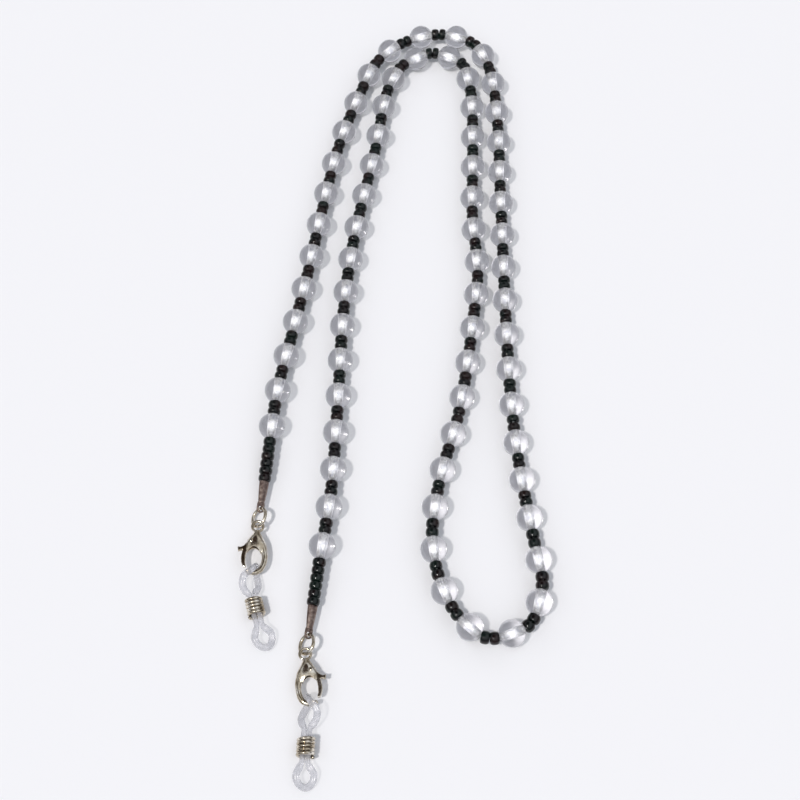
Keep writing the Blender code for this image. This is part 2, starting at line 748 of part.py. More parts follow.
def strand_body(bead):
    """Return the empty that a clear bead moves with."""
    if bead <= LEFT_FLEX:
        return left_leg
    if OUTER_FOLD < bead <= INNER_FOLD:
        return lower_loop
    return right_leg if bead > RIGHT_FLEX else strand


# Bead runs
run_starts = [0] + run_breaks
run_ends = run_breaks + [CLEAR_BEADS]
for number, (before, last) in enumerate(zip(run_starts, run_ends), 1):
    first_knot = pair_knot(before) if before else END_SEEDS
    final_knot = pair_knot(last) if last < CLEAR_BEADS else last_knot - END_SEEDS
    kinds = ["clear" if (knot - END_SEEDS) % 3 == 0 else "seed" for knot in range(first_knot, final_knot)]
    run_knots = shortened(
        knots[first_knot : final_knot + 1],
        flex_gaps.get(before, BEAD_GAP) / 2,
        flex_gaps.get(last, BEAD_GAP) / 2,
    )
    run_facings = facings[first_knot : final_knot + 1]
    run = bead_string(f"bead_run_{number:02d}", run_knots, run_facings, kinds, CLEAR)
    hang([run], strand_body(last))

# Six seed beads next to each cord end
for side, leg, order in (
    ("left", left_leg, range(END_SEEDS)),
    ("right", right_leg, range(last_knot - 1, last_knot - 1 - END_SEEDS, -1)),
):
    for number, knot in enumerate(order, 1):
        ends = shortened(knots[knot : knot + 2], BEAD_GAP / 2, BEAD_GAP / 2)
        seed = bead_string(f"{side}_end_seed_{number}", ends, facings[knot : knot + 2], ["end_seed"], BLACK)
        hang([seed], leg)

# Nylon cord, broken only where the strand bends at a joint
left_mouth, left_way = cord_end_place(knots[0], knots[1])
right_mouth, right_way = cord_end_place(knots[last_knot], knots[last_knot - 1])
cord_ends = (left_mouth + left_way * CORD_IN_END, right_mouth + right_way * CORD_IN_END)
flexes = (0, LEFT_FLEX, OUTER_FOLD, INNER_FOLD, RIGHT_FLEX, CLEAR_BEADS)
cord_names = ("left_leg_cord", "outer_cord", "lower_loop_cord", "inner_cord", "right_leg_cord")
for name, start, end in zip(cord_names, flexes, flexes[1:]):
    points = cord_points(start, end)
    if start == 0:
        points = [cord_ends[0], left_mouth] + points
    if end == CLEAR_BEADS:
        points = points + [right_mouth, cord_ends[1]]
    start_cut = CORD_BREAK / 2 if start else 0.0
    end_cut = CORD_BREAK / 2 if end < CLEAR_BEADS else 0.0
    stretch = cord_stretch(name, shortened(np.array(points), start_cut, end_cut))
    hang([stretch], strand_body(end))

# Hardware at both ends
make_end(
    "left", left_mouth, left_way, LEFT_CLASP_HEADING, -1, LEFT_LOOP_HEADINGS, LEFT_COIL_AT, left_leg
)
make_end(
    "right", right_mouth, right_way, RIGHT_CLASP_HEADING, 1, RIGHT_LOOP_HEADINGS, RIGHT_COIL_AT, right_leg
)
bpy.context.view_layer.update()
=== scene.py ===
import json
import math

import bmesh
import bpy
import numpy as np
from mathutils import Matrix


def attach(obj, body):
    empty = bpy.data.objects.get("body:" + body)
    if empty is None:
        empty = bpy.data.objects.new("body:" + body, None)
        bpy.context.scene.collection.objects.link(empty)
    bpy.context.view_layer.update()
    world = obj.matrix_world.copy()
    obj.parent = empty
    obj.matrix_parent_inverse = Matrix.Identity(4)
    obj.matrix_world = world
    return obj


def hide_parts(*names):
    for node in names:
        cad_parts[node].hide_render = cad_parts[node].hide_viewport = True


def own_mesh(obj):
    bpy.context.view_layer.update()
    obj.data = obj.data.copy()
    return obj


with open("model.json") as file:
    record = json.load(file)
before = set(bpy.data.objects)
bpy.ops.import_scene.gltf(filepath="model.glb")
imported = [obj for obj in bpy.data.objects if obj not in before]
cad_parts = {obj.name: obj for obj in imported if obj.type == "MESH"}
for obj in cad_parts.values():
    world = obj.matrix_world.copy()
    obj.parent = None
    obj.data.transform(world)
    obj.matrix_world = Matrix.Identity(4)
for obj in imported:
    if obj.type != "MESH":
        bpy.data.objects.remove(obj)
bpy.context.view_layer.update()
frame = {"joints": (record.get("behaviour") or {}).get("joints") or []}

# ---- The strand ----------------------------------------------------------------------------------
# The strap is one string of beads, laid in two nested arcs and a long loop. The string is stepped
# off bead by bead along its route, and cord, clear beads and seed beads all take their places from
# the same knots.
MM = 0.001
CLEAR_LENGTH = 5.9 * MM
SEED_LENGTH = 1.6 * MM
END_SEED_PITCH = 1.74 * MM
END_SEEDS = 6
CLEAR_BEADS = 67
BEADS_PER_RUN = 3
KNOTS_PER_BEAD = 3
BEAD_GAP = 0.1 * MM
FLEX_GAP = 0.4 * MM
LEFT_FLEX, OUTER_FOLD, INNER_FOLD, RIGHT_FLEX = 9, 27, 39, 57
LONG_SEEDS = ((range(9, 17), 0.17 * MM), (range(30, 37), 0.32 * MM))
MIDDLE = (0.7, 1.6, 0.0)
STEPS_PER_SPAN = 60
ROUTE = (
    (-28.2, -28.8, 2.3),
    (-27.1, -17.0, 3.0),
    (-26.0, -6.0, 3.0),
    (-23.2, 8.3, 3.0),
    (-20.0, 25.0, 3.0),
    (-17.0, 43.0, 3.0),
    (-13.4, 61.5, 3.0),
    (-9.1, 75.5, 3.0),
    (-3.5, 89.0, 3.0),
    (4.0, 95.1, 3.0),
    (13.3, 97.1, 3.0),
    (21.5, 93.6, 3.0),
    (24.9, 85.3, 3.0),
    (26.3, 70.0, 3.0),
    (26.4, 45.0, 3.0),
    (27.0, -7.5, 3.0),
    (28.4, -25.6, 3.0),
    (31.0, -43.7, 3.0),
    (32.3, -52.7, 3.0),
    (29.0, -62.0, 3.0),
    (19.5, -64.6, 3.0),
    (12.6, -57.5, 3.0),
    (8.9, -44.0, 3.0),
    (10.4, -29.8, 3.0),
    (15.3, -11.5, 3.0),
    (19.2, 14.0, 3.0),
    (20.3, 25.0, 3.0),
    (19.4, 41.0, 3.0),
    (19.9, 60.0, 3.0),
    (19.7, 79.5, 3.0),
    (17.5, 88.0, 3.0),
    (10.1, 91.0, 3.0),
    (2.8, 87.3, 3.0),
    (-1.1, 79.5, 3.0),
    (-4.2, 61.0, 3.0),
    (-9.3, 33.7, 3.0),
    (-11.4, 14.0, 3.0),
    (-12.2, -8.0, 3.0),
    (-13.4, -32.0, 3.0),
    (-15.4, -47.0, 3.0),
    (-17.5, -64.0, 2.0),
)


def unit(vector):
    """Divide a vector, or each row of an array of them, by its length."""
    return vector / np.linalg.norm(vector, axis=-1, keepdims=True)


def smooth_curve(points, per_span, closed=False):
    """Centripetal Catmull-Rom curve: each stretch blends straight lines through its four nearest
    points, with the square roots of the points' distances as the times between them."""
    points = np.asarray(points, float)
    if closed:
        padded = np.vstack([points[-1], points, points[0], points[1]])
    else:
        padded = np.vstack([2 * points[0] - points[1], points, 2 * points[-1] - points[-2]])
    a, b, c, d = (padded[first : len(padded) - 3 + first, None] for first in range(4))
    share = np.linspace(0.0, 1.0, per_span, endpoint=False)[None, :, None]
    t1 = np.linalg.norm(b - a, axis=2, keepdims=True) ** 0.5
    t2 = t1 + np.linalg.norm(c - b, axis=2, keepdims=True) ** 0.5
    t3 = t2 + np.linalg.norm(d - c, axis=2, keepdims=True) ** 0.5
    t = t1 + share * (t2 - t1)
    ab = a + (b - a) * t / t1
    bc = b + (c - b) * (t - t1) / (t2 - t1)
    cd = c + (d - c) * (t - t2) / (t3 - t2)
    abc = ab + (bc - ab) * t / t2
    bcd = bc + (cd - bc) * (t - t1) / (t3 - t1)
    spans = (abc + (bcd - abc) * (t - t1) / (t2 - t1)).reshape(-1, points.shape[1])
    return spans if closed else np.vstack([spans, points[-1:]])


def walk(curve, steps):
    """Step along a dense curve by straight distances: each new point is where a sphere round the
    last one, as wide as the step, cuts the curve."""
    here = curve[0]
    reached = [here]
    index = 0
    for step in steps:
        while np.linalg.norm(curve[index + 1] - here) < step:
            index += 1
        start, span = curve[index] - here, curve[index + 1] - curve[index]
        a, b, c = span @ span, 2 * span @ start, start @ start - step * step
        here = curve[index] + (-b + math.sqrt(b * b - 4 * a * c)) / (2 * a) * span
        reached.append(here)
    return np.array(reached)


run_breaks = list(range(BEADS_PER_RUN, CLEAR_BEADS - BEADS_PER_RUN, BEADS_PER_RUN))
flexes = (LEFT_FLEX, OUTER_FOLD, INNER_FOLD, RIGHT_FLEX)
string_steps = [END_SEED_PITCH] * END_SEEDS
for bead in range(1, CLEAR_BEADS + 1):
    string_steps.append(CLEAR_LENGTH)
    if bead < CLEAR_BEADS:
        gap = FLEX_GAP if bead in flexes else BEAD_GAP if bead in run_breaks else 0.0
        extra = sum(length for beads, length in LONG_SEEDS if bead in beads)
        string_steps += [SEED_LENGTH + extra + gap / 2] * 2
string_steps += [END_SEED_PITCH] * END_SEEDS
knots = walk(smooth_curve(np.array(ROUTE) - MIDDLE, STEPS_PER_SPAN) * MM, string_steps)


def pair_knot(bead):
    """The knot between the two seed beads that follow a clear bead."""
    return END_SEEDS + KNOTS_PER_BEAD * bead - 1


def strand_body(bead):
    """The frame's body that a clear bead moves with."""
    if bead <= LEFT_FLEX:
        return "left_leg"
    if OUTER_FOLD < bead <= INNER_FOLD:
        return "lower_loop"
    return "right_leg" if bead > RIGHT_FLEX else "strand"


# ---- Nylon cord ----------------------------------------------------------------------------------
# A clear monofilament of extruded nylon, half a millimetre thick, that every bead is threaded on.
# It shows as a faint line down the bores and where two beads part. It enters the cord ends, where
# it is knotted and crimped.
CORD_DIAMETER = 0.5 * MM
CORD_BREAK = 0.3 * MM
CORD_IN_END = 2.0 * MM
HARDWARE_HEIGHT = 2.3 * MM
NYLON_COLOUR = "#E4E8EA"
NYLON_SHADE = "#C4CACF"
STREAK_MM = 0.6
SPOT_EDGES = (0.01, 0.06)


def linear(colour):
    """Turn an sRGB hex colour into linear light, with full alpha."""
    channels = np.array([int(colour[at : at + 2], 16) / 255 for at in (1, 3, 5)])
    light = np.where(channels <= 0.04045, channels / 12.92, ((channels + 0.055) / 1.055) ** 2.4)
    return (*light.tolist(), 1.0)


def add(tree, kind, sockets=(), **settings):
    """Add a node with its settings. A socket's value is linked if it is another node's output, else
    written."""
    node = tree.nodes.new(kind)
    for name, value in settings.items():
        setattr(node, name, value)
    for socket, value in dict(sockets).items():
        if isinstance(value, bpy.types.NodeSocket):
            tree.links.new(value, node.inputs[socket])
        else:
            node.inputs[socket].default_value = value
    return node


def open_finish(name):
    """Start an empty material, and return it with its node tree and its Object coordinates."""
    made = bpy.data.materials.new(name)
    made.use_nodes = True
    made.node_tree.nodes.clear()
    return made, made.node_tree, add(made.node_tree, "ShaderNodeTexCoord").outputs["Object"]


def noise(tree, place, size_mm, detail=3.0):
    """Read a noise whose blotches are about size_mm across."""
    values = {"Vector": place, "Scale": 1.0 / (size_mm * MM), "Detail": detail}
    return add(tree, "ShaderNodeTexNoise", values).outputs["Fac"]


def ramp(tree, factor, *stops):
    """Turn a factor into a colour by (place, hex colour) stops."""
    node = add(tree, "ShaderNodeValToRGB", {"Fac": factor})
    elements = node.color_ramp.elements
    elements[0].position, elements[-1].position = stops[0][0], stops[-1][0]
    for position, _ in stops[1:-1]:
        elements.new(position)
    for element, (_, colour) in zip(elements, stops):
        element.color = linear(colour)
    return node.outputs["Color"]


def span(tree, factor, low, high):
    """Map a factor of 0.3 to 0.7, where a noise mostly lies, to low to high."""
    values = {"Value": factor, "From Min": 0.3, "From Max": 0.7, "To Min": low, "To Max": high}
    return add(tree, "ShaderNodeMapRange", values).outputs["Result"]


def see_through(tree, shader, straight, grazing, gathered=0.0):
    """Let light reach what lies under a clear piece: most of it where a ray meets the surface
    straight on, less where it grazes and is bent away, and an extra share, gathered, through the
    very middle of a ball."""
    facing = add(tree, "ShaderNodeLayerWeight", {"Blend": 0.5}).outputs["Facing"]
    values = {"Value": facing, "To Min": straight, "To Max": grazing}
    passed = add(tree, "ShaderNodeMapRange", values).outputs["Result"]
    values = {"Value": facing, "To Min": gathered, "To Max": 0.0}
    values |= {"From Min": SPOT_EDGES[0], "From Max": SPOT_EDGES[1]}
    spot = add(tree, "ShaderNodeMapRange", values).outputs["Result"]
    passed = add(tree, "ShaderNodeMath", {0: passed, 1: spot}, operation="ADD").outputs[0]
    clear = add(tree, "ShaderNodeBsdfTransparent", {"Color": passed}).outputs[0]
    rays = add(tree, "ShaderNodeLightPath").outputs
    for ray in ("Is Diffuse Ray", "Is Shadow Ray"):
        values = {"Fac": rays[ray], 1: shader.outputs[0], 2: clear}
        shader = add(tree, "ShaderNodeMixShader", values)
    add(tree, "ShaderNodeOutputMaterial", {"Surface": shader.outputs[0]})


# Nylon: clear polymer with fine streaks along the draw, seen as small changes of gloss.
NYLON, tree, place = open_finish("drawn_nylon")
streaks = noise(tree, place, STREAK_MM)
shader = add(
    tree,
    "ShaderNodeBsdfPrincipled",
    {
        "Base Color": ramp(tree, streaks, (0.35, NYLON_SHADE), (0.65, NYLON_COLOUR)),
        "Roughness": span(tree, streaks, 0.12, 0.3),
        "IOR": 1.53,
        "Transmission Weight": 0.75,
    },
)
see_through(tree, shader, straight=0.9, grazing=0.7)


def mouth_of(knot, inner_knot):
    """The cord end's mouth, level with the hardware, and the flat direction that it points."""
    mouth = np.array([knot[0], knot[1], HARDWARE_HEIGHT])
    return mouth, unit((knot - inner_knot) * (1.0, 1.0, 0.0))


left_mouth, left_way = mouth_of(knots[0], knots[1])
right_mouth, right_way = mouth_of(knots[-1], knots[-2])
cord_names = ("left_leg_cord", "outer_cord", "lower_loop_cord", "inner_cord", "right_leg_cord")
cord_ends = (0, *flexes, CLEAR_BEADS)
for name, first, last in zip(cord_names, cord_ends, cord_ends[1:]):
    start = pair_knot(first) if first else 0
    stop = pair_knot(last) + 1 if last < CLEAR_BEADS else len(knots)
    route = knots[start:stop].copy()
    if last == CLEAR_BEADS:
        route[-1] = right_mouth
        route = np.vstack([route, right_mouth + right_way * CORD_IN_END])
    if first == 0:
        route[0] = left_mouth
        route = np.vstack([left_mouth + left_way * CORD_IN_END, route])
    else:
        route[0] += unit(route[1] - route[0]) * CORD_BREAK / 2
    if last < CLEAR_BEADS:
        route[-1] += unit(route[-2] - route[-1]) * CORD_BREAK / 2
    line = bpy.data.curves.new("nylon_" + name, "CURVE")
    line.dimensions = "3D"
    line.bevel_depth = CORD_DIAMETER / 2
    line.bevel_resolution = 3
    line.use_fill_caps = True
    spline = line.splines.new("POLY")
    spline.points.add(len(route) - 1)
    spline.points.foreach_set("co", np.hstack([route, np.ones((len(route), 1))]).ravel())
    line.materials.append(NYLON)
    cord = bpy.data.objects.new("nylon_" + name, line)
    bpy.context.collection.objects.link(cord)
    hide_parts(name)
    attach(cord, strand_body(last))

# ---- Clear beads ---------------------------------------------------------------------------------
# Round beads of clear acrylic, 6 mm across, moulded with a straight bore and tumbled bright. The
# bore's walls throw the light back, so it shows as a white column, magnified by the ball round it.
CLEAR_RADIUS = 3.0 * MM
BORE_RADIUS = 0.72 * MM
MOUTH_ROUNDING = 0.1 * MM
CLEAR_SIDES = 44
CLEAR_ARC = 30
BORE_STEPS = 7
# A grey tint in the acrylic: painted shade that darkens the ball as the shaded table seen through
# it would.
ACRYLIC_SHADE_TINT = "#D9D9DE"
FLOW_MM = 2.2
DRAG_MM = 0.9


def piece(name, shapes, finish, body, replaced=()):
    """Put shapes into one smooth mesh. A shape is (rings, closed): rings of points in rows, joined
    ring to ring by four-sided faces, and either back to the first ring or with each end capped by
    one face. All face out."""
    points, faces, start = [], [], 0
    for rings, closed in shapes:
        rows, sides = rings.shape[:2]
        here = start + np.arange(rows * sides).reshape(rows, sides)
        beyond = np.roll(here, -1, axis=0)
        near, far = (here, beyond) if closed else (here[:-1], beyond[:-1])
        quads = np.stack([near, np.roll(near, -1, axis=1), np.roll(far, -1, axis=1), far], axis=-1)
        faces += quads.reshape(-1, 4).tolist()
        if not closed:
            faces += [here[0, ::-1].tolist(), here[-1].tolist()]
        points.append(rings.reshape(-1, 3))
        start += rows * sides
    mesh = bpy.data.meshes.new(name)
    mesh.from_pydata(np.vstack(points), [], faces)
    skin = bmesh.new()
    skin.from_mesh(mesh)
    bmesh.ops.recalc_face_normals(skin, faces=skin.faces)
    skin.to_mesh(mesh)
    skin.free()
    mesh.shade_smooth()
    mesh.materials.append(finish)
    obj = bpy.data.objects.new(name, mesh)
    bpy.context.collection.objects.link(obj)
    if body:
        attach(obj, body)
        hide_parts(*replaced)
    return obj


def turned(profile, centre, way, sides):
    """Turn a closed profile of (distance along, radius) round an axis: each profile point becomes a
    ring."""
    across = unit(np.cross(way, (0.0, 0.0, 1.0)))
    up = np.cross(across, way)
    angle = np.linspace(0.0, 2 * math.pi, sides, endpoint=False)[None, :, None]
    along, radius = profile[:, 0, None, None], profile[:, 1, None, None]
    return centre + along * way + radius * (np.cos(angle) * across + np.sin(angle) * up)


# The ball's half circle runs between the bore's mouths, and the bore's straight wall closes the
# profile.
mouth_angle = math.asin((BORE_RADIUS + MOUTH_ROUNDING) / CLEAR_RADIUS)
arc = np.linspace(math.pi - mouth_angle, mouth_angle, CLEAR_ARC)
ball = np.stack([CLEAR_RADIUS * np.cos(arc), CLEAR_RADIUS * np.sin(arc)], axis=1)
bore_half = CLEAR_RADIUS * math.cos(mouth_angle) - MOUTH_ROUNDING / 2
bore_along = np.linspace(bore_half, -bore_half, BORE_STEPS)
bore = np.stack([bore_along, np.full(BORE_STEPS, BORE_RADIUS)], axis=1)
CLEAR_PROFILE = np.vstack([ball, bore])
wall_faces = np.repeat(np.arange(len(CLEAR_PROFILE)) >= CLEAR_ARC, CLEAR_SIDES)

# Acrylic: clear, tinted grey as painted shade, IOR 1.49, with faint flow marks that change the
# gloss a little.
ACRYLIC, tree, place = open_finish("clear_acrylic")
flow = noise(tree, place, FLOW_MM)
shader = add(
    tree,
    "ShaderNodeBsdfPrincipled",
    {
        "Base Color": linear(ACRYLIC_SHADE_TINT),
        "Roughness": span(tree, flow, 0.0, 0.05),
        "IOR": 1.49,
        "Transmission Weight": 1.0,
    },
)
see_through(tree, shader, straight=0.62, grazing=0.5, gathered=1.5)

# The bore's wall: left matt by the mould's core pin, so it scatters light and shows white, with
# drag lines along it.
BORE_WALL, tree, place = open_finish("matt_acrylic_bore")
drag = noise(tree, place, DRAG_MM)
shader = add(
    tree,
    "ShaderNodeBsdfPrincipled",
    {
        "Base Color": ramp(tree, drag, (0.36, "#CFD0D7"), (0.5, "#FFFFFF")),
        "Roughness": span(tree, drag, 0.12, 0.4),
        "IOR": 1.49,
        "Transmission Weight": 0.45,
    },
)
see_through(tree, shader, straight=0.95, grazing=0.85)

run_ends = run_breaks + [CLEAR_BEADS]
for number, (before, last) in enumerate(zip([0] + run_breaks, run_ends), 1):
    balls = []
    for bead in range(before + 1, last + 1):
        low, high = knots[pair_knot(bead) - 2 : pair_knot(bead)]
        rings = turned(CLEAR_PROFILE, (low + high) / 2, unit(high - low), CLEAR_SIDES)
        balls.append((rings, True))
    run = f"bead_run_{number:02d}"
    beads = piece(f"clear_beads_{number:02d}", balls, ACRYLIC, strand_body(last), [run])
    beads.data.materials.append(BORE_WALL)
    finishes = np.tile(wall_faces, len(balls)).astype(np.int32)
    beads.data.polygons.foreach_set("material_index", finishes)

# ---- Seed beads ----------------------------------------------------------------------------------
# Short slices of black glass tube, reheated until their edges round over. No two are the same
# length or width, and they sit a little askew on the cord: a pair between every two clear beads,
# and six next to each cord end.
SEED_RADIUS = 1.5 * MM
SEED_BORE = 0.45 * MM
SEED_SIDES = 24
SEED_ARC = 18
SQUARENESS = 2.2
BLACK_GLASS = "#08090B"
BROWN_GLASS = "#1C1010"
GREEN_GLASS = "#0A1613"
TINT_MM = 3.5
GLOSS_MM = 0.5
ASKEW = 0.07
NARROWEST = 0.94
SLIP = 0.12
draw = np.random.default_rng(11)

# Black glass: glossy and opaque, with a brown or a green cast from the batch where light grazes it.
SEED_GLASS, tree, place = open_finish("black_glass")
cast = noise(tree, place, TINT_MM, 1.0)
casts = ((0.38, GREEN_GLASS), (0.5, BLACK_GLASS), (0.64, BROWN_GLASS))
shader = add(
    tree,
    "ShaderNodeBsdfPrincipled",
    {
        "Base Color": ramp(tree, cast, *casts),
        "Roughness": span(tree, noise(tree, place, GLOSS_MM), 0.03, 0.15),
        "IOR": 1.52,
        "Specular IOR Level": 0.35,
    },
)
add(tree, "ShaderNodeOutputMaterial", {"Surface": shader.outputs[0]})


def seed(start, end, radius):
    """One seed bead between two points: a rounded square is turned round the axis, its two half
    widths being half the bead's length and half its wall. Its axis is tilted by a few degrees."""
    turn = np.linspace(0.0, 2 * math.pi, SEED_ARC, endpoint=False)
    power = 2 / SQUARENESS
    length = np.linalg.norm(end - start)
    wall = (radius - SEED_BORE) / 2
    along = np.sign(np.cos(turn)) * np.abs(np.cos(turn)) ** power * length / 2
    out = SEED_BORE + wall - wall * np.sign(np.sin(turn)) * np.abs(np.sin(turn)) ** power
    way = unit(unit(end - start) + draw.uniform(-ASKEW, ASKEW, 3) * (1.0, 1.0, 0.5))
    return turned(np.stack([along, out], axis=1), (start + end) / 2, way, SEED_SIDES), True


def seed_width():
    """A seed bead's outer radius, never over the widest."""
    return SEED_RADIUS * draw.uniform(NARROWEST, 1.0)


for number, (before, last) in enumerate(zip([0] + run_breaks, run_ends), 1):
    seeds = []
    for bead in range(before, last + 1):
        if bead in (0, CLEAR_BEADS):
            continue
        low, middle, high = knots[pair_knot(bead) - 1 : pair_knot(bead) + 2]
        flex = FLEX_GAP if bead in flexes else BEAD_GAP
        way = unit(high - low)
        shift = way * draw.uniform(-SLIP, SLIP) * MM if bead not in run_ends else way * 0.0
        if bead > before:
            seeds.append(seed(low, middle + shift - way * flex / 2, seed_width()))
        if bead < last:
            seeds.append(seed(middle + shift + way * flex / 2, high, seed_width()))
    piece(f"seed_beads_{number:02d}", seeds, SEED_GLASS, strand_body(last))

last_seed = len(knots) - 2
end_orders = {"left": range(END_SEEDS), "right": range(last_seed, last_seed - END_SEEDS, -1)}
for side, order in end_orders.items():
    for number, knot in enumerate(order, 1):
        node = f"{side}_end_seed_{number}"
        shape = seed(knots[knot], knots[knot + 1], seed_width())
        piece(f"black_{node}", [shape], SEED_GLASS, f"{side}_leg", [node])

# ---- Cord ends -----------------------------------------------------------------------------------
# Stamped from thin sheet, plated in dark nickel and folded round the knotted cord with pliers,
# which leaves a seam along the top. A flat tongue beyond the fold is pierced for the jump ring.
CORD_END_LENGTH = 5.2 * MM
CORD_END_WIDTH = 2.3 * MM
CORD_END_HEIGHT = 1.8 * MM
CORD_END_TAPER = 0.62
TAPER_CURVE = 1.6
SEAM = 12.0
SHEET = 0.22 * MM
TAB_WIDTH = 1.9 * MM
TAB_THICKNESS = 0.4 * MM
TAB_HOLE = 0.65 * MM
TAB_HOLE_AT = 6.4 * MM
TAB_START = 0.8 * CORD_END_LENGTH
TAB_CORNERS = 0.3
RING_TILT = math.radians(45.0)
NICKEL_COLOURS = ("#6B5A54", "#84736C", "#A3958C")
PLIER_MM = 0.7
PLIER_DEPTH = 0.04 * MM


def dents(tree, height, depth):
    """Tilt a surface as if it rose and fell with a factor, by up to a depth in metres."""
    return add(tree, "ShaderNodeBump", {"Height": height, "Distance": depth}).outputs["Normal"]


# Dark nickel plate: warm grey metal with darker and lighter patches where the pliers burnished it.
NICKEL, tree, place = open_finish("dark_nickel_plate")
marks = noise(tree, place, PLIER_MM)
shader = add(
    tree,
    "ShaderNodeBsdfPrincipled",
    {
        "Base Color": ramp(tree, marks, *zip((0.35, 0.5, 0.68), NICKEL_COLOURS)),
        "Metallic": 1.0,
        "Roughness": span(tree, marks, 0.38, 0.55),
        "Normal": dents(tree, marks, PLIER_DEPTH),
    },
)
add(tree, "ShaderNodeOutputMaterial", {"Surface": shader.outputs[0]})

for side, mouth, way in (("left", left_mouth, left_way), ("right", right_mouth, right_way)):
    flat = unit(np.cross((0.0, 0.0, 1.0), way))
    across = math.cos(RING_TILT) * flat - math.sin(RING_TILT) * np.array([0.0, 0.0, 1.0])
    normal = np.cross(across, way)
    # The folded sheet: an ellipse left open by a seam, drawn once outside and once inside, and
    # narrowing.
    angle = np.radians(np.linspace(90.0 + SEAM / 2, 450.0 - SEAM / 2, 40))
    share = np.linspace(0.0, 1.0, 24)[:, None, None]
    scale = 1.0 - (1.0 - CORD_END_TAPER) * share**TAPER_CURVE
    half_sizes = np.array([CORD_END_WIDTH, CORD_END_HEIGHT]) / 2
    outer = scale * half_sizes * np.stack([np.cos(angle), np.sin(angle)], axis=-1)
    inner = outer - SHEET * unit(outer)
    section = np.concatenate([outer, inner[:, ::-1]], axis=1)
    folded = across * section[..., :1] + normal * section[..., 1:]
    rings = mouth + way * share * CORD_END_LENGTH + folded
    # The tongue: a hole's circle widens into a rounded outline with straight sides, on two faces.
    turn = np.linspace(0.0, 2 * math.pi, 40, endpoint=False)
    circle = np.stack([np.cos(turn), np.sin(turn)], axis=-1)
    hole, rim = TAB_HOLE * circle, TAB_WIDTH / 2 * circle
    stem = TAB_HOLE_AT - TAB_START - TAB_WIDTH / 2
    rim[:, 1] -= np.where(rim[:, 1] < 0, stem, 0.0) * np.abs(np.sin(turn)) ** TAB_CORNERS
    layers = (  # outline, and height as a share of the thickness
        (hole, 0.5),
        (hole, -0.5),
        (rim * 0.98, -0.5),
        (rim, -0.3),
        (rim, 0.3),
        (rim * 0.98, 0.5),
    )
    tab = []
    for outline, height in layers:
        flat_ring = across * outline[:, :1] + way * (TAB_HOLE_AT + outline[:, 1:])
        tab.append(mouth + flat_ring + normal * height * TAB_THICKNESS)
    shapes = [(rings, False), (np.stack(tab), True)]
    node = f"{side}_cord_end"
    piece(f"folded_{node}", shapes, NICKEL, f"{side}_leg", [node])

# ---- Jump rings ----------------------------------------------------------------------------------
# Round brass wire, wound, sawn into rings and plated a pale champagne silver. Each is opened and
# shut with pliers through the cord end's tongue and the clasp's eye, and rests on its edge at a
# slant.
RING_RADIUS = 2.1 * MM
RING_WIRE = 0.37 * MM
SAW_CUT = 0.06
SAW_CUT_AT = 0.9
SILVER_COLOURS = ("#948772", "#C2B7A4", "#E9E3D8")
CLOUD_MM = 1.6
GRAIN_MM = 0.25
GRAIN_DEPTH = 0.012 * MM


def swept(path, radii, sides, reference, closed=False):
    """Carry a circle along a path: its plane is square to the path, and one of its two directions
    is also square to the reference direction."""
    path = np.asarray(path, float)
    ahead, behind = np.roll(path, -1, axis=0), np.roll(path, 1, axis=0)
    along = unit(ahead - behind) if closed else unit(np.gradient(path, axis=0))
    across = unit(np.cross(along, reference))
    up = np.cross(across, along)
    angle = np.linspace(0.0, 2 * math.pi, sides, endpoint=False)[None, :, None]
    radii = np.broadcast_to(radii, len(path))[:, None, None]
    circles = np.cos(angle) * across[:, None] + np.sin(angle) * up[:, None]
    return path[:, None] + radii * circles, closed


# Champagne silver plate over cast or drawn brass: bright, warm and a little cloudy, with fine
# tumbling marks.
SILVER, tree, place = open_finish("champagne_silver_plate")
cloud = noise(tree, place, CLOUD_MM)
grain = noise(tree, place, GRAIN_MM)
shader = add(
    tree,
    "ShaderNodeBsdfPrincipled",
    {
        "Base Color": ramp(tree, cloud, *zip((0.34, 0.5, 0.66), SILVER_COLOURS)),
        "Metallic": 1.0,
        "Roughness": span(tree, grain, 0.1, 0.26),
        "Normal": dents(tree, grain, GRAIN_DEPTH),
    },
)
add(tree, "ShaderNodeOutputMaterial", {"Surface": shader.outputs[0]})

joints = {joint["name"]: joint for joint in frame["joints"]}
for side in ("left", "right"):
    hole = np.array(joints[f"{side}_ring_swing"]["pos_m"])
    eye = np.array(joints[f"{side}_clasp_swing"]["pos_m"])
    way, lean = unit(eye - hole), np.array(joints[f"{side}_ring_swing"]["axis"])
    turn = np.linspace(SAW_CUT / 2, 2 * math.pi - SAW_CUT / 2, 72)[:, None] + SAW_CUT_AT
    path = (hole + eye) / 2 + RING_RADIUS * (np.cos(turn) * way + np.sin(turn) * lean)
    shape = swept(path, RING_WIRE, 20, np.cross(way, lean))
    node = f"{side}_jump_ring"
    piece(f"plated_{node}", [shape], SILVER, f"{side}_ring", [node])

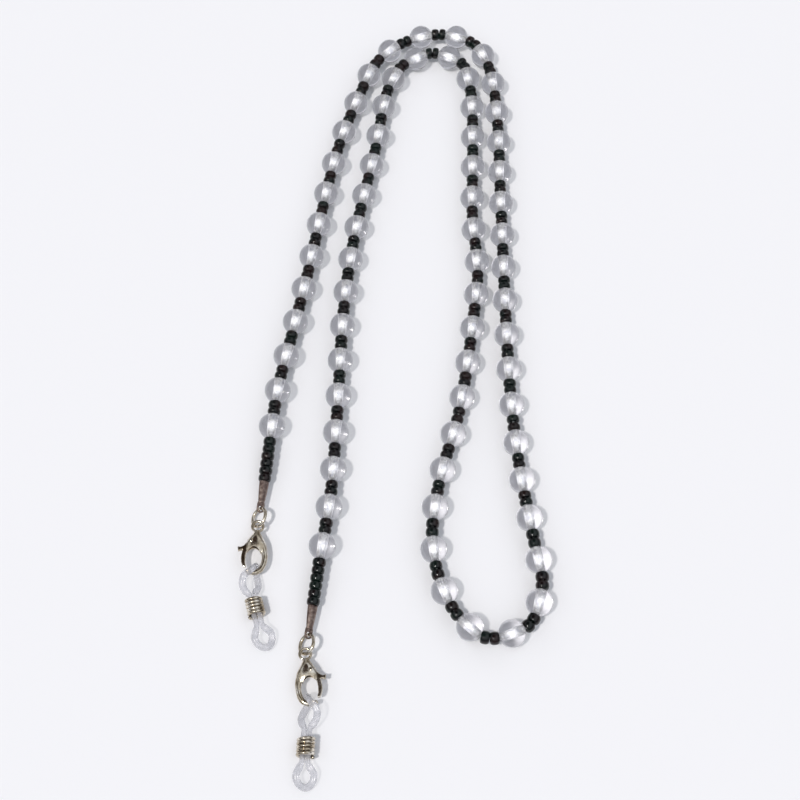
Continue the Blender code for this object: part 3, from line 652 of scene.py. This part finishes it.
# ---- Lobster clasps ------------------------------------------------------------------------------
# Cast in zinc as one piece, with the eye, the swelling head and the hook that narrows round to its
# tip, then plated like the rings. The head is arched out below, slotted for the lever and drilled
# across for its pin.
EYE_RADIUS = 1.2 * MM
EYE_WIRE = 0.3 * MM
HEAD_SECTIONS = (  # down the clasp, half width, half thickness, sideways, in millimetres
    (-0.9, 0.5, 0.45, 0.0),
    (-1.6, 0.8, 0.75, 0.0),
    (-2.6, 1.45, 1.12, 0.0),
    (-3.7, 2.05, 1.22, -0.05),
    (-4.7, 2.35, 1.15, -0.1),
    (-5.5, 2.4, 0.98, -0.05),
    (-6.1, 2.3, 0.75, 0.0),
)
HOOK_PATH = (  # across, down and radius, in millimetres
    (-1.35, -4.2, 0.95),
    (-2.0, -5.7, 0.74),
    (-2.3, -7.2, 0.64),
    (-2.15, -8.7, 0.62),
    (-1.7, -9.8, 0.6),
    (-0.9, -10.45, 0.57),
    (0.0, -10.65, 0.55),
    (0.9, -10.55, 0.5),
    (1.35, -10.3, 0.4),
)
CLASP_HEADINGS = {"left": -4.0, "right": 8.0}
LEVER_SIDES = {"left": -1, "right": 1}
PIVOT = (0.9, -3.6)
PIN_RADIUS = 0.4 * MM
PIN_CLEARANCE = 0.04 * MM
PIN_LENGTH = 2.1 * MM
LEVER_THICKNESS = 0.95 * MM
SLOT_CLEARANCE = 0.1 * MM
SLOT = (-0.85, -6.9, 4.0, -2.2)  # low across, low down, high across, high down, in millimetres
ARCH = (0.25, -7.4, 1.7, 2.6)  # across, down and the two radii, in millimetres
ARCH_BELOW = 1.0
THROUGH_CLASP = 3 * MM
CAST_VOXEL = 0.085 * MM
CAST_EASING = 6


def heading(degrees):
    """The flat direction at an angle from -Y towards +X."""
    return np.array([math.sin(math.radians(degrees)), -math.cos(math.radians(degrees)), 0.0])


def clasp_place(side, points):
    """Place points of the clasp's own drawing, in metres: eye at 0, 0, hook towards -y and lever
    side at +x."""
    down = heading(CLASP_HEADINGS[side])
    right = np.array([-down[1], down[0], 0.0]) * LEVER_SIDES[side]
    eye = np.array(joints[f"{side}_clasp_swing"]["pos_m"])
    points = np.asarray(points, float)
    flat = points[..., :1] * right - points[..., 1:2] * down
    return eye + flat + points[..., 2:] * (0.0, 0.0, 1.0)


def plate(outline, half, side):
    """An outline in millimetres drawn at two heights, as two rings."""
    outline = np.asarray(outline, float) * MM
    levels = [np.insert(outline, 2, height, axis=1) for height in (-half, half)]
    return clasp_place(side, np.stack(levels)), False


def disc(centre, radius, sides=24):
    """The corners of a circle, in millimetres."""
    turn = np.linspace(0.0, 2 * math.pi, sides, endpoint=False)
    return np.asarray(centre) + radius / MM * np.stack([np.cos(turn), np.sin(turn)], axis=-1)


def tool(name, outline, half, side):
    """A solid that cuts an outline through a casting, and is gone after the cut."""
    return piece(name, [plate(outline, half, side)], SILVER, None)


def cast_piece(obj, cutters, voxel, smoothing):
    """Melt a mesh's overlapping shapes into one skin, as casting does, smooth it, and cut its
    openings."""
    skin = obj.modifiers.new("skin", "REMESH")
    skin.mode = "VOXEL"
    skin.voxel_size = voxel
    skin.use_smooth_shade = True
    easing = obj.modifiers.new("easing", "SMOOTH")
    easing.factor = 0.5
    easing.iterations = smoothing
    for number, cutter in enumerate(cutters):
        cut = obj.modifiers.new(f"cut_{number}", "BOOLEAN")
        cut.operation = "DIFFERENCE"
        cut.object = cutter
    bpy.context.view_layer.update()
    worked = obj.evaluated_get(bpy.context.evaluated_depsgraph_get())
    finished = bpy.data.meshes.new_from_object(worked)
    obj.modifiers.clear()
    obj.data = finished
    obj.data.shade_smooth()
    obj.data.set_sharp_from_angle(angle=math.radians(50.0))
    for cutter in cutters:
        bpy.data.objects.remove(cutter, do_unlink=True)


head = smooth_curve(HEAD_SECTIONS, 6) * MM
turn = np.linspace(0.0, 2 * math.pi, 32, endpoint=False)[None, :]
head_rings = np.stack(
    [
        head[:, 3:] + head[:, 1:2] * np.cos(turn),
        np.broadcast_to(head[:, :1], (len(head), turn.size)),
        head[:, 2:3] * np.sin(turn),
    ],
    axis=-1,
)
hook = smooth_curve(HOOK_PATH, 8) * MM
hook_path = np.column_stack([hook[:, :2], np.zeros(len(hook))])
eye_turn = np.linspace(0.0, 2 * math.pi, 40, endpoint=False)
eye_path = EYE_RADIUS * np.stack([np.cos(eye_turn), np.sin(eye_turn), 0 * eye_turn], axis=-1)
low_x, low_y, high_x, high_y = SLOT
lever_slot = ((low_x, low_y), (high_x, low_y), (high_x, high_y), (low_x, high_y))
pin_hole = disc(PIVOT, PIN_RADIUS + PIN_CLEARANCE)
arch = np.array(ARCH[:2]) + disc((0.0, 0.0), MM, 48) * ARCH[2:]
arch = arch[arch[:, 1] > ARCH[1] - ARCH_BELOW]
for side in ("left", "right"):
    shapes = [
        (clasp_place(side, head_rings), False),
        swept(clasp_place(side, hook_path), hook[:, 2], 20, (0.0, 0.0, 1.0)),
        swept(clasp_place(side, eye_path), EYE_WIRE, 16, (0.0, 0.0, 1.0), closed=True),
    ]
    body = f"{side}_clasp"
    clasp = piece(f"cast_{body}", shapes, SILVER, body, [f"{body}_body"])
    slot_tool = tool("slot_tool", lever_slot, LEVER_THICKNESS / 2 + SLOT_CLEARANCE, side)
    drill = tool("drill", pin_hole, THROUGH_CLASP, side)
    arch_tool = tool("arch_tool", arch, THROUGH_CLASP, side)
    cast_piece(clasp, [arch_tool, slot_tool, drill], CAST_VOXEL, CAST_EASING)

# ---- Clasp levers --------------------------------------------------------------------------------
# Stamped and plated like the clasp: a bowed arm that closes on the hook's tip, with a flared thumb
# knob outside.
LEVER_OUTLINE = (  # across and down, in millimetres
    (-0.6, -3.4),
    (-0.6, -3.9),
    (0.3, -4.35),
    (1.3, -5.2),
    (1.75, -6.2),
    (1.87, -7.4),
    (1.75, -8.6),
    (1.45, -9.35),
    (1.65, -9.6),
    (2.15, -9.5),
    (2.6, -8.6),
    (2.78, -7.3),
    (2.7, -6.2),
    (2.5, -5.7),
    (3.0, -5.7),
    (3.6, -5.95),
    (3.8, -5.0),
    (3.1, -5.05),
    (2.5, -4.75),
    (1.85, -3.9),
    (1.75, -3.3),
    (1.3, -2.85),
    (0.7, -2.8),
    (0.15, -3.2),
)
THROUGH_LEVER = 2 * MM
LEVER_VOXEL = 0.07 * MM
LEVER_EASING = 4
for side in ("left", "right"):
    shape = plate(LEVER_OUTLINE, LEVER_THICKNESS / 2, side)
    node = f"{side}_clasp_lever"
    lever = piece(f"stamped_{node}", [shape], SILVER, f"{side}_lever", [node])
    cast_piece(lever, [tool("drill", pin_hole, THROUGH_LEVER, side)], LEVER_VOXEL, LEVER_EASING)

# ---- Clasp pins ----------------------------------------------------------------------------------
# A short brass rivet that the lever turns on, pressed through the head. Its upper face is domed and
# its lower one is rolled over, and both are plated with the clasp.
PIN_DOME = 0.12 * MM
PIN_TIP = 0.001 * MM
half = PIN_LENGTH / 2
dome = np.linspace(0.0, math.pi / 2, 6)
rolled = -half + PIN_DOME * (1 - np.sin(dome) - np.cos(dome))
domed = half - PIN_DOME + PIN_DOME * np.sin(dome)
rise = np.concatenate([rolled, domed])[:, None]
radius = PIN_TIP + PIN_RADIUS * np.concatenate([np.sin(dome), np.cos(dome)])[:, None]
turn = np.linspace(0.0, 2 * math.pi, 24, endpoint=False)
pin = np.stack(
    [
        PIVOT[0] * MM + radius * np.cos(turn),
        PIVOT[1] * MM + radius * np.sin(turn),
        np.broadcast_to(rise, (len(rise), len(turn))),
    ],
    axis=-1,
)
for side in ("left", "right"):
    node = f"{side}_clasp_pin"
    shape = (clasp_place(side, pin), False)
    piece(f"riveted_{node}", [shape], SILVER, f"{side}_clasp", [node])

# ---- Clasp springs -------------------------------------------------------------------------------
# A few turns of fine steel wire inside the head, above the lever's short end, that push the lever
# shut. They are built at one length only.
SPRING_AT = (-0.25, -2.3)
SPRING_LENGTH = 0.9 * MM
SPRING_RADIUS = 0.3 * MM
SPRING_WIRE = 0.07 * MM
SPRING_TURNS = 3
DIE_MM = 0.2

# Drawn spring steel: grey and satin, with the die's fine lines.
SPRING_STEEL, tree, place = open_finish("drawn_spring_steel")
lines = noise(tree, place, DIE_MM)
shader = add(
    tree,
    "ShaderNodeBsdfPrincipled",
    {
        "Base Color": ramp(tree, lines, (0.35, "#8E8F92"), (0.65, "#B9BABD")),
        "Metallic": 1.0,
        "Roughness": span(tree, lines, 0.22, 0.38),
    },
)
add(tree, "ShaderNodeOutputMaterial", {"Surface": shader.outputs[0]})
share = np.linspace(0.0, 1.0, SPRING_TURNS * 20 + 1)
turn = 2 * math.pi * SPRING_TURNS * share
spring_path = np.stack(
    [
        SPRING_AT[0] * MM + SPRING_RADIUS * np.cos(turn),
        SPRING_AT[1] * MM - SPRING_LENGTH * share,
        SPRING_RADIUS * np.sin(turn),
    ],
    axis=-1,
)
for side in ("left", "right"):
    node = f"{side}_clasp_spring"
    down = heading(CLASP_HEADINGS[side])
    shape = swept(clasp_place(side, spring_path), SPRING_WIRE, 8, down)
    spring = piece(f"wound_{node}", [shape], SPRING_STEEL, f"{side}_clasp", [node])
    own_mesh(spring)

# ---- Silicone temple loops -----------------------------------------------------------------------
# A moulded loop of soft clear silicone. It wraps the clasp's hook, both legs pass through the
# slider side by side, and the open eye beyond it slips over the temple of a pair of glasses and is
# cinched there.
TUBE_RADIUS = 0.75 * MM
LEG_RADIUS = 0.56 * MM
PINCHED_RADIUS = 0.57 * MM  # where the tube is squeezed round the hook
PINCH = (-1.2, 0.5)  # the distances over which it swells back
LEG_OFFSET = 0.62
LOOP_LIFT = -0.27
LOOP_REACH = 18.0
NARROW_FROM, NARROW_TO, NARROWING = 5.0, 12.2, 0.6
LOOP_POINTS = (  # distance from the hook, sideways and up, in millimetres
    (-1.55, 0.0, 0.0),
    (-1.1, 0.0, 1.1),
    (0.0, 0.6, 1.62),
    (1.6, 1.85, 1.5),
    (3.0, 1.9, 0.8),
    (4.1, 1.3, 0.0),
    (5.0, LEG_OFFSET, LOOP_LIFT),
    (7.2, LEG_OFFSET, LOOP_LIFT),
    (9.6, LEG_OFFSET, LOOP_LIFT),
    (12.0, LEG_OFFSET, LOOP_LIFT),
    (13.0, 1.1, -0.4),
    (14.3, 1.8, -0.7),
    (15.6, 1.55, -1.1),
    (16.5, 0.8, -1.35),
    (16.8, 0.0, -1.4),
    (16.5, -0.8, -1.35),
    (15.6, -1.55, -1.1),
    (14.3, -1.8, -0.7),
    (13.0, -1.1, -0.4),
    (12.0, -LEG_OFFSET, LOOP_LIFT),
    (9.6, -LEG_OFFSET, LOOP_LIFT),
    (7.2, -LEG_OFFSET, LOOP_LIFT),
    (5.0, -LEG_OFFSET, LOOP_LIFT),
    (4.0, -1.1, -0.6),
    (3.0, -1.35, -1.05),
    (1.6, -0.95, -1.35),
    (0.0, -0.2, -1.52),
    (-1.1, 0.0, -1.08),
)
LOOP_HEADINGS = {  # distance from the hook and heading there
    "left": ((-2.0, -6.0), (1.5, -12.0), (2.5, -12.0), (4.6, 15.0), (12.2, 15.0), (16.0, 32.0)),
    "right": ((-2.0, 5.0), (2.0, -3.0), (4.6, -2.0), (12.2, -2.0), (16.0, 10.0)),
}
SILICONE_COLOUR = "#E6E6EB"
SILICONE_MILK = "#D2D3D9"
MILK_MM = 1.2

# Silicone: milky and translucent, IOR 1.41, soft gloss, with slow clouds where the filler is
# thicker.
SILICONE, tree, place = open_finish("clear_silicone_rubber")
milk = noise(tree, place, MILK_MM)
shader = add(
    tree,
    "ShaderNodeBsdfPrincipled",
    {
        "Base Color": ramp(tree, milk, (0.35, SILICONE_MILK), (0.65, SILICONE_COLOUR)),
        "Roughness": span(tree, milk, 0.16, 0.3),
        "IOR": 1.41,
        "Transmission Weight": 0.7,
    },
)
see_through(tree, shader, straight=0.95, grazing=0.6)


def loop_place(side, points):
    """Place points given by distance from the hook, sideways to the lever and up, in millimetres:
    the loop's middle line is the running sum of its headings, and each point stands off it
    squarely."""
    distances, degrees = zip(*LOOP_HEADINGS[side])
    fine = np.linspace(distances[0], LOOP_REACH, 401)
    angle = np.radians(np.interp(fine, distances, degrees))
    ways = np.stack([np.sin(angle), -np.cos(angle), 0 * angle], axis=-1)
    moves = (ways[1:] + ways[:-1]) / 2 * np.diff(fine)[:, None]
    middle = np.vstack([np.zeros(3), np.cumsum(moves, axis=0)])
    middle -= [np.interp(0.0, fine, middle[:, axis]) for axis in range(3)]
    points = np.asarray(points, float)
    along = points[:, 0]
    centre = np.stack([np.interp(along, fine, middle[:, axis]) for axis in range(3)], axis=-1)
    angle = np.radians(np.interp(along, distances, degrees))
    across = np.stack([np.cos(angle), np.sin(angle), 0 * angle], axis=-1) * LEVER_SIDES[side]
    bar = np.array(joints[f"{side}_loop_swing"]["pos_m"])
    return bar + (centre + across * points[:, 1:2] + points[:, 2:] * (0.0, 0.0, 1.0)) * MM


drawn = smooth_curve(LOOP_POINTS, 10, closed=True)
depth = np.minimum(drawn[:, 0] - NARROW_FROM, NARROW_TO - drawn[:, 0])
outside = np.interp(drawn[:, 0], PINCH, (PINCHED_RADIUS, TUBE_RADIUS))
loop_radii = outside + (LEG_RADIUS - outside) * np.clip(1 + depth / NARROWING, 0, 1)
for side in ("left", "right"):
    node = f"{side}_temple_loop"
    shape = swept(loop_place(side, drawn), loop_radii, 24, (1.0, 0.0, 1.0), closed=True)
    piece(f"moulded_{node}", [shape], SILICONE, f"{side}_loop", [node])

# ---- Coil sliders --------------------------------------------------------------------------------
# Five close turns of plated round wire, wound over both legs of the loop, that grip them and slide
# to cinch it.
COIL_MIDDLES = {"left": 8.0, "right": 9.0}  # distance from the hook, in millimetres
COIL_TURNS = 5
COIL_PITCH = 0.74
COIL_WIRE = 0.34 * MM
COIL_CLEARANCE = 0.08 * MM
coil_radius = LEG_OFFSET + (LEG_RADIUS + COIL_CLEARANCE + COIL_WIRE) / MM
share = np.linspace(-0.5, 0.5, COIL_TURNS * 40 + 1)
turn = 2 * math.pi * COIL_TURNS * (share + 0.5)
coil = np.stack(
    [
        COIL_TURNS * COIL_PITCH * share,
        coil_radius * np.cos(turn),
        LOOP_LIFT + coil_radius * np.sin(turn),
    ],
    axis=-1,
)
for side in ("left", "right"):
    node = f"{side}_coil_slider"
    axis = np.array(joints[f"{side}_slider_slide"]["axis"])
    shape = swept(loop_place(side, coil + (COIL_MIDDLES[side], 0.0, 0.0)), COIL_WIRE, 14, axis)
    piece(f"wound_{node}", [shape], SILVER, f"{side}_slider", [node])

# ---- Table, light and camera ---------------------------------------------------------------------
# A plain pale table under a high lamp from the front left, with a bright sky that darkens towards
# the ground. One dark brown patch of the sky is there for the bright metals to reflect.
FLOOR_COLOUR = "#F2F3F7"
FLOOR_HALF = 1.5
FLOOR_GRAIN_MM = 3.0
CAMERA_AT = (0.00114, -0.1561, 0.2958)
CAMERA_DOWN = math.radians(63.56)
LENS_MM = 64.8
SENSOR_MM = 36.0
NEAREST = 0.01
LAMP_WAY = (-0.38, -0.36, 1.0)
LAMP_SPREAD = math.radians(5.0)
LAMP_STRENGTH = 1.64
LAMP_COLOUR = "#FFFAF4"
SKY_STRENGTH = 0.96
SKY_COLOURS = ((0.0, "#3A3634"), (0.3, "#7C7B7E"), (0.55, "#D9DCE2"), (0.8, "#F6F9FE"))
DARK_SIDE_WAY = (-0.2, 0.45, 0.87)
DARK_SIDE_EDGES = (0.87, 0.94)
DARK_SIDE_COLOUR = "#3A2E27"

TABLE, tree, place = open_finish("matt_pale_laminate")
shader = add(
    tree,
    "ShaderNodeBsdfPrincipled",
    {
        "Base Color": linear(FLOOR_COLOUR),
        "Roughness": span(tree, noise(tree, place, FLOOR_GRAIN_MM), 0.7, 0.8),
        "Specular IOR Level": 0.15,
    },
)
add(tree, "ShaderNodeOutputMaterial", {"Surface": shader.outputs[0]})
corners = FLOOR_HALF * np.array([[-1, -1, 0], [1, -1, 0], [1, 1, 0], [-1, 1, 0]], float)
mesh = bpy.data.meshes.new("table")
mesh.from_pydata(corners, [], [(0, 1, 2, 3)])
mesh.materials.append(TABLE)
table = bpy.data.objects.new("table", mesh)
bpy.context.collection.objects.link(table)

lamp = bpy.data.lights.new("lamp", "SUN")
lamp.angle = LAMP_SPREAD
lamp.energy = LAMP_STRENGTH
lamp.color = linear(LAMP_COLOUR)[:3]
lamp_holder = bpy.data.objects.new("lamp", lamp)
bpy.context.collection.objects.link(lamp_holder)
lamp_way = unit(np.array(LAMP_WAY))
lamp_turn = math.atan2(lamp_way[1], lamp_way[0]) + math.pi / 2
lamp_holder.rotation_euler = (math.acos(lamp_way[2]), 0.0, lamp_turn)

sky = bpy.data.worlds.new("soft_white_room")
sky.use_nodes = True
tree = sky.node_tree
way = add(tree, "ShaderNodeTexCoord").outputs["Generated"]
height = add(tree, "ShaderNodeSeparateXYZ", {0: way}).outputs["Z"]
values = {0: way, 1: DARK_SIDE_WAY}
towards = add(tree, "ShaderNodeVectorMath", values, operation="DOT_PRODUCT").outputs["Value"]
values = {"Value": towards, "From Min": DARK_SIDE_EDGES[0], "From Max": DARK_SIDE_EDGES[1]}
dark = add(tree, "ShaderNodeMapRange", values).outputs["Result"]
values = {"Factor": dark, 6: ramp(tree, height, *SKY_COLOURS), 7: linear(DARK_SIDE_COLOUR)}
colour = add(tree, "ShaderNodeMix", values, data_type="RGBA").outputs[2]
tree.nodes["Background"].inputs["Strength"].default_value = SKY_STRENGTH
tree.links.new(colour, tree.nodes["Background"].inputs["Color"])
bpy.context.scene.world = sky
bpy.context.scene.view_settings.view_transform = "Standard"

lens = bpy.data.cameras.new("camera")
lens.sensor_width = SENSOR_MM
lens.lens = LENS_MM
lens.clip_start = NEAREST
camera = bpy.data.objects.new("camera", lens)
camera.location = CAMERA_AT
camera.rotation_euler = (math.pi / 2 - CAMERA_DOWN, 0.0, 0.0)
bpy.context.collection.objects.link(camera)
bpy.context.scene.camera = camera
